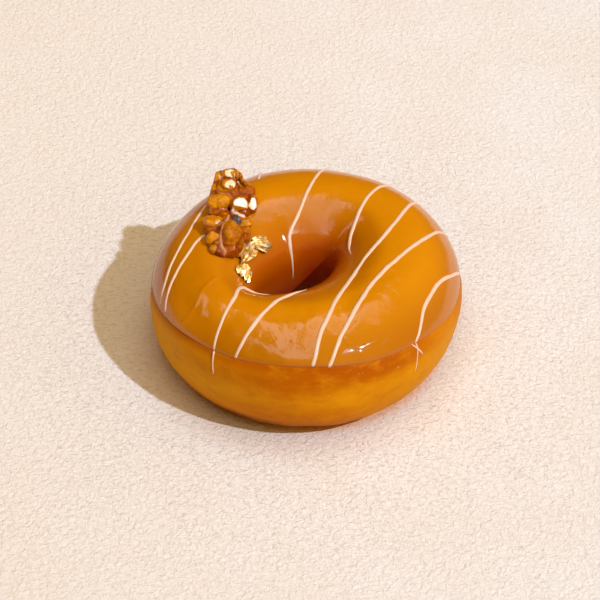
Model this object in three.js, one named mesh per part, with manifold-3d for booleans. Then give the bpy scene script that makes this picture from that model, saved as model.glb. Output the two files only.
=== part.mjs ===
// A ring doughnut: raised dough, a caramel icing with thin sugar threads and
// gold leaf on it, and a piece of candied walnut lying on the back left.
//
// Millimetres, +Z up. The doughnut stands on z = 0, with the middle of its
// outline at x = y = 0. +X is its right side and -Y its front.
//
// The skin of the ring has two coordinates, both in degrees: the bearing runs
// round the ring, anticlockwise from +X, and the turn runs round the section,
// from 0 on the outer side over 90 on the crown to 180 in the hole.

import * as THREE from 'three';
import { mergeVertices } from 'three/addons/utils/BufferGeometryUtils.js';
import Module from 'manifold-3d';

const wasm = await Module();
wasm.setup();

// --- Driving dimensions -----------------------------------------------------

// The ring, seen from above
const OUTLINE_LONG = 92;
const OUTLINE_SHORT = 90.2;
const OUTLINE_BEARING = 65;        // bearing of the outline's long axis
const OUTLINE_SWELLS = [           // how the hand-shaped outline leaves an oval
  { waves: 3, size: 0.28, bearing: 35 },
  { waves: 4, size: 0.14, bearing: 11 },
];
const HOLE_LONG = 26.4;
const HOLE_SHORT = 13.4;
const HOLE_BEARING = 42;           // bearing of the hole's long axis
const HOLE_MIDDLE = [-3.2, -1.4];

// The ring's section
const HEIGHT = 34.5;
const WAIST = 16.5;                // height of the widest and narrowest lines
const BASE_PRESSED = 1.2;          // how much of the round underside is pressed flat
const TOP_SQUARENESS = 2.15;       // 2 is a true oval
const BASE_SQUARENESS = 2.4;

// The icing
const ICING = 1.1;                 // full thickness
const ICING_EDGE = 0.6;            // thickness at its edges
const ICING_TAPER = 16;            // degrees of turn over which it thins
const ICING_ROUND = 1.8;           // degrees of turn that round its edge
const EDGE_LOW = 13;               // turn of the outer edge at the back, where it hangs lowest
const EDGE_RISE = 24;              // how much higher that edge is at the front
const EDGE_TOP_BEARING = 264;
const EDGE_FALL = 1.25;            // how fast the edge drops towards the sides
const EDGE_RIPPLE = 0.9;
const EDGE_RIPPLES = 7;
const INNER_EDGE = 200;            // turn of the edge inside the hole
const GAP = 0.4;                   // free space between the icing and the dough

// The dough below the icing
const BARE_START = 1;              // degrees of turn past the icing's edge where the dough
const BARE_BLEND = 12;             // starts to come out to the skin, and how many it takes

// How finely the ring is cut
const RING_STEPS = 60;
const BARE_OUTER_STEPS = 7;
const ICED_STEPS = 12;
const BARE_INNER_STEPS = 3;

// The sugar threads, each a list of [bearing, turn] that the piping went through
const THREAD_RADIUS = 0.5;
const THREAD_SIDES = 6;
const THREAD_STEP = 3.2;
const THREADS = [
  [[145, 62], [153, 65], [166, 67], [178, 62], [188, 52], [194, 41], [199, 25]],
  [[126, 44], [124, 34], [122, 22]],
  [[170, 85], [176, 79], [185, 72], [191, 63], [196, 51], [204, 27]],
  [[114, 66], [112, 56], [109, 40], [108, 26]],
  [[240, 140], [232, 132], [224, 131], [219, 126], [220, 115], [226, 96], [230, 72], [233.4, 33.5]],
  [[272, 140], [262, 126], [251, 110], [247, 90], [244, 60], [242.5, 35.5]],
  [[79, 24], [82, 56], [88, 92], [98, 120], [115, 140], [120, 158], [121, 184]],
  [[52, 24], [52, 55], [51, 86], [45, 111], [33, 131], [21, 135], [2, 130]],
  [[36, 24], [37, 49], [24, 86], [-6, 112], [-39, 113], [-67, 99], [-82, 73], [-88, 39]],
  [[21, 22], [15, 52], [-5, 84], [-35, 93], [-58, 85], [-74, 63], [-82, 38]],
  [[2, 19], [-5, 33], [-16, 47], [-31, 47], [-45, 28.5]],
];

// The gold leaf: three crumpled scraps on the skin, [bearing, turn], with their
// length, width and height, and how far each is turned on the skin
const LEAF_SINK = 0.35;            // how far a scrap is pressed into the icing
const LEAF_CRUMPLE = 0.24;         // share of its size by which its corners are uneven
const LEAF_CLEARANCE = 0.6;        // free space between it and the walnut
const LEAVES = [
  { at: [157, 129], size: [6.2, 5.4, 3.6], twist: 20, seed: 23757 },
  { at: [180, 123], size: [6.8, 5.8, 4.4], twist: 70, seed: 63352 },
  { at: [200, 133], size: [6.0, 5.2, 3.4], twist: -30, seed: 110866 },
];

// The walnut piece: rounded lobes, each with its middle and its half sizes
const SEAT_LIFT = 0.45;            // how far its underside stays off the icing
const SEAT_STEPS = 24;
const LOBE_DETAIL = 1;
const LOBE_FACET_GROWTH = 1.07;    // makes up for the flat facets of a lobe
const UPPER_LOBES = [
  { middle: [-22.6, 28.6, 36.8], half: [2.5, 1.9, 2.0] },   // tip
  { middle: [-26.2, 27.8, 35.7], half: [2.7, 2.9, 2.8] },
  { middle: [-23.5, 22.9, 36.8], half: [2.9, 2.6, 2.6] },
  { middle: [-26.8, 21.9, 36.1], half: [2.6, 2.7, 2.2] },
  { middle: [-25.6, 16.4, 37.2], half: [3.7, 2.1, 2.2] },   // finger across the piece
  { middle: [-18.5, 27.0, 35.8], half: [1.8, 2.3, 1.6] },
  { middle: [-17.3, 21.9, 36.0], half: [2.5, 2.3, 2.3] },
  { middle: [-19.5, 15.3, 36.9], half: [2.6, 2.4, 2.4] },
  { middle: [-15.5, 17.2, 35.7], half: [1.4, 2.8, 2.7] },
  { middle: [-24.2, 21.0, 34.8], half: [4.4, 8.8, 3.0] },   // pith under these lobes
  { middle: [-18.6, 19.0, 34.7], half: [3.4, 6.2, 2.5] },
];
const LOWER_LOBES = [
  { middle: [-26.8, 7.6, 36.5], half: [2.6, 2.9, 2.5] },
  { middle: [-26.8, 1.5, 36.0], half: [2.2, 2.7, 2.3] },
  { middle: [-26.0, -2.5, 35.2], half: [2.1, 1.9, 1.9] },
  { middle: [-21.3, 2.2, 36.8], half: [3.1, 4.4, 3.8] },    // large round lobe
  { middle: [-17.5, 6.2, 35.6], half: [1.9, 3.5, 1.9] },
  { middle: [-23.0, 5.4, 34.8], half: [5.2, 9.8, 3.1] },    // pith under these lobes
];
// The upper half's straight cut side: a place on it, and the way it faces
const CUT_AT = [-28.6, 18.0, 37.2];
const CUT_FACES = [-0.97, 0.17, 0.17];

// How each piece looks
const LOOKS = {
  dough: { colour: 0xb9701a, roughness: 0.75 },
  icing: { colour: 0xd9860f, roughness: 0.2 },
  walnut: { colour: 0x9a5310, roughness: 0.3 },
};

const FULL_TURN = 360;
const HALF_TURN = 180;
const SAME_POINT = 1e-4;           // corners closer than this are one

// --- Helpers ----------------------------------------------------------------

const radians = THREE.MathUtils.degToRad;
const signedPower = (value, power) => Math.sign(value) * Math.abs(value) ** power;

// Distance from the origin, along a bearing, to the rim of an oval that holds it
function reachOfOval(bearing, long, short, longBearing, middle = [0, 0]) {
  const turned = radians(bearing - longBearing);
  const axis = radians(longBearing);
  const way = [Math.cos(turned) / (long / 2), Math.sin(turned) / (short / 2)];
  const start = [
    -(middle[0] * Math.cos(axis) + middle[1] * Math.sin(axis)) / (long / 2),
    (middle[0] * Math.sin(axis) - middle[1] * Math.cos(axis)) / (short / 2),
  ];
  const square = way[0] ** 2 + way[1] ** 2;
  const linear = way[0] * start[0] + way[1] * start[1];
  const rest = start[0] ** 2 + start[1] ** 2 - 1;
  return (-linear + Math.sqrt(linear ** 2 - square * rest)) / square;
}

function outlineReach(bearing) {
  let reach = reachOfOval(bearing, OUTLINE_LONG, OUTLINE_SHORT, OUTLINE_BEARING);
  for (const swell of OUTLINE_SWELLS) {
    reach += swell.size * Math.cos(swell.waves * radians(bearing - swell.bearing));
  }
  return reach;
}

function holeReach(bearing) {
  return reachOfOval(bearing, HOLE_LONG, HOLE_SHORT, HOLE_BEARING, HOLE_MIDDLE);
}

// A point of the ring's skin, or one lifted off it along the section's normal
function skinPoint(bearing, turn, lift = 0) {
  const outer = outlineReach(bearing);
  const inner = holeReach(bearing);
  const halfWidth = (outer - inner) / 2;
  const isUpper = Math.sin(radians(turn)) >= 0;
  const halfHeight = isUpper ? HEIGHT - WAIST : WAIST + BASE_PRESSED;
  const squareness = isUpper ? TOP_SQUARENESS : BASE_SQUARENESS;
  const across = signedPower(Math.cos(radians(turn)), 2 / squareness);
  const up = signedPower(Math.sin(radians(turn)), 2 / squareness);
  const normal = new THREE.Vector2(
    signedPower(across, squareness - 1) / halfWidth,
    signedPower(up, squareness - 1) / halfHeight,
  ).normalize();
  const reach = (outer + inner) / 2 + across * halfWidth + normal.x * lift;
  const height = WAIST + up * halfHeight + normal.y * lift;
  return new THREE.Vector3(
    reach * Math.cos(radians(bearing)),
    reach * Math.sin(radians(bearing)),
    Math.max(height, 0),
  );
}

// Turn at which the underside meets the flat base
const BASE_TURN = THREE.MathUtils.radToDeg(
  Math.asin((WAIST / (WAIST + BASE_PRESSED)) ** (BASE_SQUARENESS / 2)),
);

// Turn of the icing's outer edge
function edgeTurn(bearing) {
  const towardsFront = Math.max(0, Math.cos(radians(bearing - EDGE_TOP_BEARING)));
  const ripple = EDGE_RIPPLE * Math.sin(EDGE_RIPPLES * radians(bearing));
  return EDGE_LOW + EDGE_RISE * towardsFront ** EDGE_FALL + ripple;
}

function icingThickness(turn, outerEdge) {
  const fromEdge = Math.min(turn - outerEdge, INNER_EDGE - turn);
  return THREE.MathUtils.lerp(
    ICING_EDGE,
    ICING,
    THREE.MathUtils.smoothstep(fromEdge, 0, ICING_TAPER),
  );
}

// How far the dough lies behind the icing's face
function doughInset(turn, outerEdge) {
  const fromEdge = Math.min(turn - outerEdge, INNER_EDGE - turn);
  if (fromEdge >= 0) {
    return icingThickness(turn, outerEdge) + GAP;
  }
  return (ICING_EDGE + GAP) * (1 - THREE.MathUtils.smoothstep(-fromEdge - BARE_START, 0, BARE_BLEND));
}

// Evenly spaced values from first up to, but not with, last
function steps(first, last, count) {
  return Array.from({ length: count }, (_, k) => first + ((last - first) * k) / count);
}

// A closed ring: a closed loop of points for each bearing, joined to the next
function ringGeometry(loopAt) {
  const loops = steps(0, FULL_TURN, RING_STEPS).map(loopAt);
  const size = loops[0].length;
  const corners = [];
  for (let i = 0; i < RING_STEPS; i += 1) {
    const next = (i + 1) % RING_STEPS;
    for (let j = 0; j < size; j += 1) {
      const up = (j + 1) % size;
      const [a, b] = [i * size + j, next * size + j];
      const [c, d] = [next * size + up, i * size + up];
      corners.push(a, b, c, a, c, d);
    }
  }
  const geometry = new THREE.BufferGeometry();
  geometry.setAttribute('position', new THREE.Float32BufferAttribute(
    loops.flat().flatMap((point) => point.toArray()), 3));
  geometry.setIndex(corners);
  return geometry;
}

function solidFrom(geometry) {
  const bare = geometry.clone();
  bare.deleteAttribute('normal');
  bare.deleteAttribute('uv');
  const merged = mergeVertices(bare, SAME_POINT);
  return new wasm.Manifold(new wasm.Mesh({
    numProp: 3,
    vertProperties: new Float32Array(merged.attributes.position.array),
    triVerts: new Uint32Array(merged.index.array),
  }));
}

function geometryFrom(solid) {
  const mesh = solid.getMesh();
  const geometry = new THREE.BufferGeometry();
  geometry.setAttribute('position', new THREE.Float32BufferAttribute(mesh.vertProperties, 3));
  geometry.setIndex([...mesh.triVerts]);
  geometry.computeVertexNormals();
  return geometry;
}

// --- Dough ------------------------------------------------------------------

function doughLoop(bearing) {
  const edge = edgeTurn(bearing);
  const turns = [
    ...steps(-BASE_TURN, edge, BARE_OUTER_STEPS),
    ...steps(edge, INNER_EDGE, ICED_STEPS),
    ...steps(INNER_EDGE, HALF_TURN + BASE_TURN, BARE_INNER_STEPS),
    HALF_TURN + BASE_TURN,
  ];
  return turns.map((turn) => skinPoint(bearing, turn, -doughInset(turn, edge)));
}

// --- Icing ------------------------------------------------------------------

function icingLoop(bearing) {
  const edge = edgeTurn(bearing);
  const turns = [...steps(edge, INNER_EDGE, ICED_STEPS), INNER_EDGE];
  const outside = turns.map((turn, k) => {
    if (k === 0) {
      return skinPoint(bearing, turn, -ICING_EDGE / 2);
    }
    return skinPoint(bearing, turn, k === ICED_STEPS ? -ICING_EDGE / 2 : 0);
  });
  outside.splice(1, 0, skinPoint(bearing, edge + ICING_ROUND));
  outside.splice(-1, 0, skinPoint(bearing, INNER_EDGE - ICING_ROUND));
  const inside = turns.map((turn) => (
    skinPoint(bearing, turn, -icingThickness(turn, edge))
  ));
  return [...outside, ...inside.reverse()];
}

// A line on the skin through a few places, given as [bearing, turn]
class SkinCurve extends THREE.Curve {
  constructor(places) {
    super();
    this.places = new THREE.CatmullRomCurve3(
      places.map(([bearing, turn]) => new THREE.Vector3(bearing, turn, 0)),
    );
  }

  getPoint(share) {
    const place = this.places.getPoint(share);
    return skinPoint(place.x, place.y);
  }
}

function threadSolid(places) {
  const section = new THREE.Shape();
  section.absarc(0, 0, THREAD_RADIUS, 0, 2 * Math.PI);
  const route = new SkinCurve(places);
  return solidFrom(new THREE.ExtrudeGeometry(section, {
    steps: Math.ceil(route.getLength() / THREAD_STEP),
    curveSegments: THREAD_SIDES,
    extrudePath: route,
    bevelEnabled: false,
  }));
}

// A repeatable stand-in for chance: the same numbers from the same seed
function chanceFrom(seed) {
  let state = seed;
  return () => {
    state = (state * 16807) % 2147483647;
    return state / 2147483647;
  };
}

// A crumpled scrap of leaf. grown makes it larger all round, to keep others clear
function leafSolid({ at, size, twist, seed }, grown = 0) {
  const geometry = new THREE.IcosahedronGeometry(1, LOBE_DETAIL);
  geometry.deleteAttribute('normal');
  geometry.deleteAttribute('uv');
  const scrap = mergeVertices(geometry, SAME_POINT);
  const chance = chanceFrom(seed);
  const corners = scrap.attributes.position;
  for (let i = 0; i < corners.count; i += 1) {
    const uneven = 1 + LEAF_CRUMPLE * (2 * chance() - 1);
    corners.setXYZ(i, ...[corners.getX(i), corners.getY(i), corners.getZ(i)].map(
      (value, axis) => value * (uneven * size[axis] / 2 + grown)));
  }
  const foot = skinPoint(...at, size[2] / 4 - LEAF_SINK);
  const up = skinPoint(...at, 1).sub(skinPoint(...at)).normalize();
  scrap.rotateZ(radians(twist));
  scrap.applyQuaternion(new THREE.Quaternion().setFromUnitVectors(new THREE.Vector3(0, 0, 1), up));
  scrap.translate(foot.x, foot.y, foot.z);
  return solidFrom(scrap);
}

function icingSolid() {
  let solid = solidFrom(ringGeometry(icingLoop));
  for (const places of THREADS) {
    solid = solid.add(threadSolid(places));
  }
  for (const leaf of LEAVES) {
    solid = solid.add(leafSolid(leaf));
  }
  // What a scrap or thread pushes through the shell's underside is cut away again
  return solid.subtract(solidFrom(ringGeometry(underIcingLoop)));
}

// The space under the icing, with the gap: the dough's own place, grown by it
function underIcingLoop(bearing) {
  const edge = edgeTurn(bearing);
  const turns = [...steps(edge, INNER_EDGE, ICED_STEPS), INNER_EDGE];
  const roof = turns.map((turn) => skinPoint(bearing, turn, -icingThickness(turn, edge)));
  const floor = [roof.at(-1), roof[0]].map((point) => point.clone().setZ(WAIST / 2));
  return [...roof, ...floor];
}

// --- Walnut -----------------------------------------------------------------

function lobeSolid({ middle, half }) {
  const lobe = new THREE.IcosahedronGeometry(LOBE_FACET_GROWTH, LOBE_DETAIL);
  lobe.scale(...half);
  lobe.translate(...middle);
  return solidFrom(lobe);
}

// Everything that the walnut has to stay clear of: the iced ring and the leaf
function walnutSeat() {
  const turns = steps(0, FULL_TURN, SEAT_STEPS);
  let seat = solidFrom(ringGeometry((bearing) => (
    turns.map((turn) => skinPoint(bearing, turn, SEAT_LIFT))
  )));
  for (const leaf of LEAVES) {
    seat = seat.add(leafSolid(leaf, LEAF_CLEARANCE));
  }
  return seat;
}

function joined(lobes) {
  return lobes.map(lobeSolid).reduce((solid, lobe) => solid.add(lobe));
}

function walnutSolid() {
  const inwards = new THREE.Vector3(...CUT_FACES).normalize().negate();
  const cutFromMiddle = inwards.dot(new THREE.Vector3(...CUT_AT));
  const upper = joined(UPPER_LOBES).trimByPlane(inwards.toArray(), cutFromMiddle);
  return upper.add(joined(LOWER_LOBES)).subtract(walnutSeat());
}

// --- Assembly ---------------------------------------------------------------

function piece(name, solid) {
  const { colour, roughness } = LOOKS[name];
  const material = new THREE.MeshStandardMaterial({ color: colour, roughness, metalness: 0 });
  const mesh = new THREE.Mesh(geometryFrom(solid), material);
  mesh.name = name;
  return mesh;
}

const doughnut = new THREE.Group();
doughnut.add(
  piece('dough', solidFrom(ringGeometry(doughLoop))),
  piece('icing', icingSolid()),
  piece('walnut', walnutSolid()),
);

// The outline's middle goes to x = y = 0
const middle = new THREE.Box3().setFromObject(doughnut).getCenter(new THREE.Vector3());
doughnut.position.set(-middle.x, -middle.y, 0);

export default doughnut;
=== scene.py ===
"""An iced ring doughnut with sugar threads, gold leaf and a candied walnut piece.

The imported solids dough, icing and walnut are the frame. Each is replaced by finer pieces that
keep its form, and the sugar threads and the leaf get pieces of their own.

Shapes are worked out in millimetres in the ring's own frame, and turned into metres in the row
frame when a mesh is made. The ring's skin has two coordinates, in degrees: the bearing runs
round the ring, anticlockwise from +X, and the turn runs round the section, from 0 on the outer
side over 90 on the crown to 180 in the hole.
"""

import math
from collections import namedtuple

import bmesh
import bpy
import numpy as np
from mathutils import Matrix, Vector


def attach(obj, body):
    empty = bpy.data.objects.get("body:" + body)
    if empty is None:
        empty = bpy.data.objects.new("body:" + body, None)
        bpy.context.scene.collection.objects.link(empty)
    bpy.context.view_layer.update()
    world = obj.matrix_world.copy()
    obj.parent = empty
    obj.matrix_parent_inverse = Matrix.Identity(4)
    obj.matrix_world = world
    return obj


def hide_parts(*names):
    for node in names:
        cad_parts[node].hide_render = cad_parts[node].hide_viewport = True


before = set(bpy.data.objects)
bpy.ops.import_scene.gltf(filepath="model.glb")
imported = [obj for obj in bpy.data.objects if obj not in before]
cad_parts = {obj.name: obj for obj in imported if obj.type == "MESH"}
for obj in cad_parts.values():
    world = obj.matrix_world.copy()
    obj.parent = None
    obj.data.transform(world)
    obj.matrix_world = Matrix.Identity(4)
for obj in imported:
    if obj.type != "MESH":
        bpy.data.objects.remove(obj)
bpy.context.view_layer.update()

MM = 0.001
BODY = "root"

# --- The ring, as in the frame's own solids ---

OUTLINE_LONG, OUTLINE_SHORT, OUTLINE_BEARING = 92.0, 90.2, 65.0
OUTLINE_SWELLS = [(3, 0.28, 35.0), (4, 0.14, 11.0)]  # waves, size, bearing
HOLE_LONG, HOLE_SHORT, HOLE_BEARING = 26.4, 13.4, 42.0
HOLE_MIDDLE = (-3.2, -1.4)
HEIGHT, WAIST, BASE_PRESSED = 34.5, 16.5, 1.2
TOP_SQUARENESS, BASE_SQUARENESS = 2.15, 2.4
EDGE_LOW, EDGE_RISE, EDGE_TOP_BEARING, EDGE_FALL = 13.0, 24.0, 264.0, 1.25
EDGE_RIPPLE, EDGE_RIPPLES = 0.9, 7
INNER_EDGE = 200.0


def signed_power(value, power):
    return np.sign(value) * np.abs(value) ** power


def reach_of_oval(bearing, long, short, long_bearing, middle=(0.0, 0.0)):
    turned, axis = np.radians(bearing - long_bearing), math.radians(long_bearing)
    way = np.cos(turned) / (long / 2), np.sin(turned) / (short / 2)
    start = (
        -(middle[0] * math.cos(axis) + middle[1] * math.sin(axis)) / (long / 2),
        (middle[0] * math.sin(axis) - middle[1] * math.cos(axis)) / (short / 2),
    )
    square = way[0] ** 2 + way[1] ** 2
    linear = way[0] * start[0] + way[1] * start[1]
    rest = start[0] ** 2 + start[1] ** 2 - 1
    return (-linear + np.sqrt(linear**2 - square * rest)) / square


def outline_reach(bearing):
    reach = reach_of_oval(bearing, OUTLINE_LONG, OUTLINE_SHORT, OUTLINE_BEARING)
    for waves, size, at in OUTLINE_SWELLS:
        reach = reach + size * np.cos(waves * np.radians(bearing - at))
    return reach


def hole_reach(bearing):
    return reach_of_oval(bearing, HOLE_LONG, HOLE_SHORT, HOLE_BEARING, HOLE_MIDDLE)


def skin(bearing, turn, lift=0.0):
    """Points of the ring's smooth skin, or lifted off it along the section's normal, in mm."""
    bearing, turn, lift = np.broadcast_arrays(*(np.asarray(x, float) for x in (bearing, turn, lift)))
    outer, inner = outline_reach(bearing), hole_reach(bearing)
    half_width = (outer - inner) / 2
    upper = np.sin(np.radians(turn)) >= 0
    half_height = np.where(upper, HEIGHT - WAIST, WAIST + BASE_PRESSED)
    squareness = np.where(upper, TOP_SQUARENESS, BASE_SQUARENESS)
    across = signed_power(np.cos(np.radians(turn)), 2 / squareness)
    up = signed_power(np.sin(np.radians(turn)), 2 / squareness)
    normal_x = signed_power(across, squareness - 1) / half_width
    normal_z = signed_power(up, squareness - 1) / half_height
    length = np.hypot(normal_x, normal_z)
    reach = (outer + inner) / 2 + across * half_width + normal_x / length * lift
    height = WAIST + up * half_height + normal_z / length * lift
    east, north = reach * np.cos(np.radians(bearing)), reach * np.sin(np.radians(bearing))
    return np.stack([east, north, np.maximum(height, 0.0)], axis=-1)


BASE_TURN = math.degrees(math.asin((WAIST / (WAIST + BASE_PRESSED)) ** (BASE_SQUARENESS / 2)))


def edge_turn(bearing):
    """Turn of the icing's outer edge."""
    towards_front = np.maximum(0.0, np.cos(np.radians(bearing - EDGE_TOP_BEARING)))
    ripple = EDGE_RIPPLE * np.sin(EDGE_RIPPLES * np.radians(bearing))
    return EDGE_LOW + EDGE_RISE * towards_front**EDGE_FALL + ripple


# The outline's middle is at x = y = 0 in the row frame
waist_line = skin(np.arange(0.0, 360.0, 0.5), 0.0)
ROW_SHIFT = -(waist_line.min(0) + waist_line.max(0)) / 2
ROW_SHIFT[2] = 0.0


# --- Relief ---


def smoothstep(value, low, high):
    share = np.clip((value - low) / (high - low), 0.0, 1.0)
    return share * share * (3 - 2 * share)


def around(value, middle, half):
    """1 at the middle, falling off smoothly on both sides of it."""
    return np.exp(-(((value - middle) / half) ** 2))


def noise(points, size, seed):
    """Smooth unevenness from -1 to 1, with features of that size, the same on every run."""
    cells = np.asarray(points, float) / size
    base = np.floor(cells).astype(np.int64)
    share = cells - base
    share = share * share * (3 - 2 * share)
    total = np.zeros(cells.shape[:-1])
    for corner in np.ndindex(2, 2, 2):
        at = base + np.array(corner)
        mixed = (at[..., 0] * 73856093) ^ (at[..., 1] * 19349663) ^ (at[..., 2] * 83492791)
        mixed = (mixed + seed * 97531) & 0x7FFFFFFF
        mixed = ((mixed ^ (mixed >> 15)) * 1274126177) & 0x7FFFFFFF
        mixed = ((mixed ^ (mixed >> 12)) * 1103515245) & 0x7FFFFFFF
        value = (mixed ^ (mixed >> 16)) / 0x3FFFFFFF - 1
        weight = np.prod(np.where(np.array(corner), share, 1 - share), axis=-1)
        total += value * weight
    return total


# Creases in the icing: places [bearing, turn] that each runs through, half width in mm and
# depth in mm, negative for a ridge
CREASES = [
    ([(321, 108), (311, 103), (303, 97), (298, 91), (294, 85), (290, 78), (287, 72)], 2.6, 0.30),
    ([(207, 95), (211, 80), (215.5, 62), (216.5, 48), (215, 33)], 0.55, -0.15),
    ([(285, 62), (288, 52), (292, 47), (299, 48), (304, 49), (309, 51)], 0.5, -0.10),
    ([(125, 126), (124, 140), (124, 152)], 2.0, 0.25),
]


def line_distance(points, line):
    """How far points are from a line of straight stretches."""
    nearest = np.full(points.shape[:-1], np.inf)
    for a, b in zip(line[:-1], line[1:]):
        way = b - a
        share = np.clip(((points - a) @ way) / (way @ way), 0, 1)
        gap = np.linalg.norm(points - a - share[..., None] * way, axis=-1)
        nearest = np.minimum(nearest, gap)
    return nearest


def crease_relief(points):
    depth = np.zeros(points.shape[:-1])
    for places, half_width, size in CREASES:
        line = skin(*np.array(places, float).T)
        depth += size * around(line_distance(points, line), 0.0, half_width)
    return -depth


# Unevenness: size and depth in mm, for the icing what its front has on top, and a seed
ICING_WAVES = [(15.0, 0.24, 0.0, 3), (7.0, 0.13, 0.09, 5), (2.9, 0.03, 0.06, 8)]
DOUGH_WAVES = [(11.0, 0.28, 21), (4.2, 0.10, 22), (1.7, 0.035, 23)]
# A shoulder just inside the hole, where the icing has run together: height in mm, turn, half width
SHOULDER_HEIGHT, SHOULDER_TURN, SHOULDER_HALF = 0.6, 152.0, 14.0


def icing_relief(bearing, turn):
    """How far the poured icing's face lies off the smooth skin, in mm."""
    points = skin(bearing, turn)
    shoulder = SHOULDER_HEIGHT * around(turn, SHOULDER_TURN, SHOULDER_HALF)
    front = smoothstep(-np.sin(np.radians(bearing)), 0.2, 0.8)
    waves = 0
    for size, depth, more, seed in ICING_WAVES:
        waves = waves + (depth + more * front) * noise(points, size, seed)
    return waves + shoulder + crease_relief(points)


LIP = 0.4
LIP_WIDTH = 7.0  # degrees of turn over which the icing rounds down to its edge


def lip(from_edge):
    """How far the icing has rounded down, at degrees of turn from its edge."""
    share = np.clip(from_edge / LIP_WIDTH, 0, 1)
    return LIP * (1 - np.sqrt(np.maximum(0.0, 1 - (1 - share) ** 2)))


def icing_face(bearing, turn, lift=0.0):
    """Points on the icing's face, or lifted off it."""
    lift = lift + icing_relief(bearing, turn) - lip(turn - edge_turn(bearing))
    return skin(bearing, turn, lift)


def dough_relief(bearing, turn):
    points = skin(bearing, turn)
    return sum(depth * noise(points, size, seed) for size, depth, seed in DOUGH_WAVES)


# --- Mesh helpers ---


def face_outwards(data):
    work = bmesh.new()
    work.from_mesh(data)
    bmesh.ops.recalc_face_normals(work, faces=work.faces)
    work.to_mesh(data)
    work.free()


def new_object(name, data):
    obj = bpy.data.objects.new(name, data)
    bpy.context.scene.collection.objects.link(obj)
    return obj


def mesh_object(name, vertices, faces, material):
    """A smooth closed mesh from vertices in mm, in the ring's frame."""
    data = bpy.data.meshes.new(name)
    data.from_pydata(((np.asarray(vertices) + ROW_SHIFT) * MM).tolist(), [], faces)
    data.validate()
    data.shade_smooth()
    data.materials.append(material)
    face_outwards(data)
    return new_object(name, data)


def side_faces(loops, size, gaps, offset=0):
    """Quads across the gaps between closed loops, where the first loop follows the last."""
    i, j = np.meshgrid(np.arange(gaps), np.arange(size), indexing="ij")
    after, up = (i + 1) % loops, (j + 1) % size
    corners = [i * size + j, after * size + j, after * size + up, i * size + up]
    return (np.stack(corners, -1).reshape(-1, 4) + offset).tolist()


def tube_faces(loops, size, offset):
    """Faces of an open row of closed loops, with its two ends closed."""
    first = [offset + k for k in range(size)]
    last = [offset + (loops - 1) * size + k for k in reversed(range(size))]
    return side_faces(loops, size, loops - 1, offset) + [first, last]


def paint(obj, name, values):
    """Stores a number for each vertex, for the material to use."""
    layer = obj.data.attributes.new(name, "FLOAT", "POINT")
    layer.data.foreach_set("value", np.asarray(values, np.float32).ravel())


# --- Materials ---


class Nodes:
    """A node tree, with short names for what it is made of."""

    def __init__(self, owner):
        owner.use_nodes = True
        self.tree = owner.node_tree

    def node(self, kind, inputs=None, **settings):
        made = self.tree.nodes.new(kind)
        for key, value in settings.items():
            setattr(made, key, value)
        for key, value in (inputs or {}).items():
            self.feed(made.inputs[key], value)
        return made

    def feed(self, socket, value):
        if isinstance(value, bpy.types.NodeSocket):
            self.tree.links.new(value, socket)
        elif socket.type == "RGBA":
            socket.default_value = (*value, 1.0)
        else:
            socket.default_value = value

    def place(self):
        return self.node("ShaderNodeTexCoord").outputs["Object"]

    def stretched(self, scale, rotation=(0.0, 0.0, 0.0)):
        inputs = {"Vector": self.place(), "Rotation": rotation, "Scale": scale}
        return self.node("ShaderNodeMapping", inputs).outputs["Vector"]

    def noise(self, size, detail=2.0, roughness=0.5, distortion=0.0, place=None):
        """A noise texture with features of that size in mm."""
        inputs = {"Vector": place or self.place(), "Scale": 1 / (size * MM), "Detail": detail}
        inputs.update(Roughness=roughness, Distortion=distortion)
        return self.node("ShaderNodeTexNoise", inputs).outputs["Fac"]

    def spots(self, size):
        """Distance to the nearest of scattered spots, over their spacing in mm."""
        inputs = {"Vector": self.place(), "Scale": 1 / (size * MM)}
        return self.node("ShaderNodeTexVoronoi", inputs).outputs["Distance"]

    def painted(self, name):
        return self.node("ShaderNodeAttribute", attribute_name=name).outputs["Fac"]

    def math(self, operation, a, b, clamp=False):
        made = self.node("ShaderNodeMath", {0: a, 1: b}, operation=operation, use_clamp=clamp)
        return made.outputs[0]

    def band(self, value, low, high, to_low=0.0, to_high=1.0):
        """value from low..high to to_low..to_high, smoothly, and level outside."""
        inputs = {"Value": value, "From Min": low, "From Max": high}
        inputs.update({"To Min": to_low, "To Max": to_high})
        made = self.node("ShaderNodeMapRange", inputs, interpolation_type="SMOOTHSTEP")
        return made.outputs["Result"]

    def mix(self, share, a, b):
        made = self.node("ShaderNodeMix", data_type="RGBA")
        self.feed(made.inputs["Factor"], share)
        self.feed(made.inputs[6], a)
        self.feed(made.inputs[7], b)
        return made.outputs[2]

    def layered(self, colour, layers):
        """A colour under others, which are given as their share and the colour itself."""
        for share, tint in layers:
            colour = self.mix(share, colour, tint)
        return colour

    def ramp(self, value, stops):
        made = self.node("ShaderNodeValToRGB", {"Fac": value})
        elements = made.color_ramp.elements
        while len(elements) < len(stops):
            elements.new(0.5)
        for element, (at, colour) in zip(elements, stops):
            element.position = at
            element.color = (*colour, 1.0)
        return made.outputs["Color"]

    def bump(self, height, distance, normal=None):
        """Small relief: height from 0 to 1 stands for distance in mm."""
        made = self.node("ShaderNodeBump", {"Height": height, "Distance": distance * MM})
        if normal is not None:
            self.feed(made.inputs["Normal"], normal)
        return made.outputs["Normal"]


class Shader(Nodes):
    """A material, whose looks are all set on its one Principled shader."""

    def __init__(self, name):
        self.material = bpy.data.materials.new(name)
        super().__init__(self.material)
        self.bsdf = self.tree.nodes["Principled BSDF"]

    def set(self, **values):
        for key, value in values.items():
            self.feed(self.bsdf.inputs[key.replace("_", " ")], value)


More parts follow.
